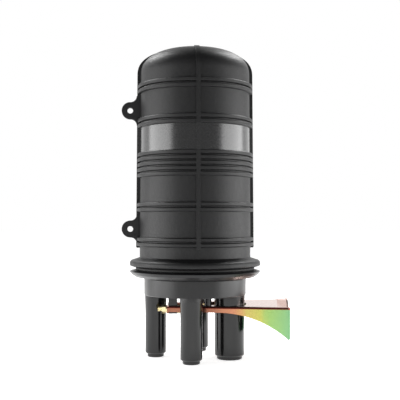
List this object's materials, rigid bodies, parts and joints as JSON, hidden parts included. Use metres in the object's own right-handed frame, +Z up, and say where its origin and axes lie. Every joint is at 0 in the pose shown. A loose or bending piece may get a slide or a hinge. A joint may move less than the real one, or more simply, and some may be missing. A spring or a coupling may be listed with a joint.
{
  "type": "dome splice closure",
  "caption": "Black ribbed dome cover on a ported base, with splice trays on a frame inside and a folded wall bracket underneath.",
  "frame": {"origin": "the dome's axis at the middle of the seal ring, between the two flanges", "axes": "+Z up along the dome's axis; +X towards the wall bracket's plate; the hanging ears are on -X"},
  "size_m": [0.2105, 0.1692, 0.4003],
  "materials": {
    "dome_plastic": "fine moulded grain",
    "base_plastic": "semi-gloss moulded",
    "seal_rubber": "matte",
    "zinc_sheet": "yellow zinc passivate, iridescent",
    "zinc_fixings": "pale yellow zinc",
    "frame_steel": "brushed",
    "screw_steel": "bright zinc",
    "block_plastic": "moulded",
    "tray_plastic": "moulded",
    "comb_plastic": "moulded",
    "clear_cover": "clear",
    "strap_fabric": "woven hook-and-loop"
  },
  "bodies": {
    "base": {"seal_ring": "seal_rubber", "port_base": "base_plastic", "mount_bracket": "zinc_sheet", "bracket_bolt": "zinc_fixings", "spring_washer": "zinc_fixings", "bracket_nut": "zinc_fixings", "bracket_screws": "zinc_fixings", "flat_washers": "zinc_fixings", "frame_plate": "frame_steel", "frame_plate_screws": "screw_steel", "back_panel": "frame_steel", "panel_screws": "screw_steel", "hinge_block": "block_plastic", "hinge_block_screws": "screw_steel", "splice_tray_1": "tray_plastic", "splice_tray_2": "tray_plastic", "splice_tray_3": "tray_plastic", "splice_tray_4": "tray_plastic", "hinge_pin_1": "screw_steel", "hinge_pin_2": "screw_steel", "hinge_pin_3": "screw_steel", "hinge_pin_4": "screw_steel", "splice_comb_1": "comb_plastic", "splice_comb_2": "comb_plastic", "splice_comb_3": "comb_plastic", "splice_comb_4": "comb_plastic", "tray_cover": "clear_cover", "tray_strap": "strap_fabric", "storage_basket": "block_plastic", "strength_clamp_1": "frame_steel", "strength_clamp_2": "frame_steel", "strength_clamp_3": "frame_steel", "strength_clamp_4": "frame_steel", "clamp_screws": "screw_steel"},
    "dome": {"dome_cover": "dome_plastic"}
  },
  "joints": [
    {"name": "dome_lift", "type": "slide", "parent": "base", "child": "dome", "axis": [0, 0, 1], "range_m": [0, 0.24]}
  ]
}
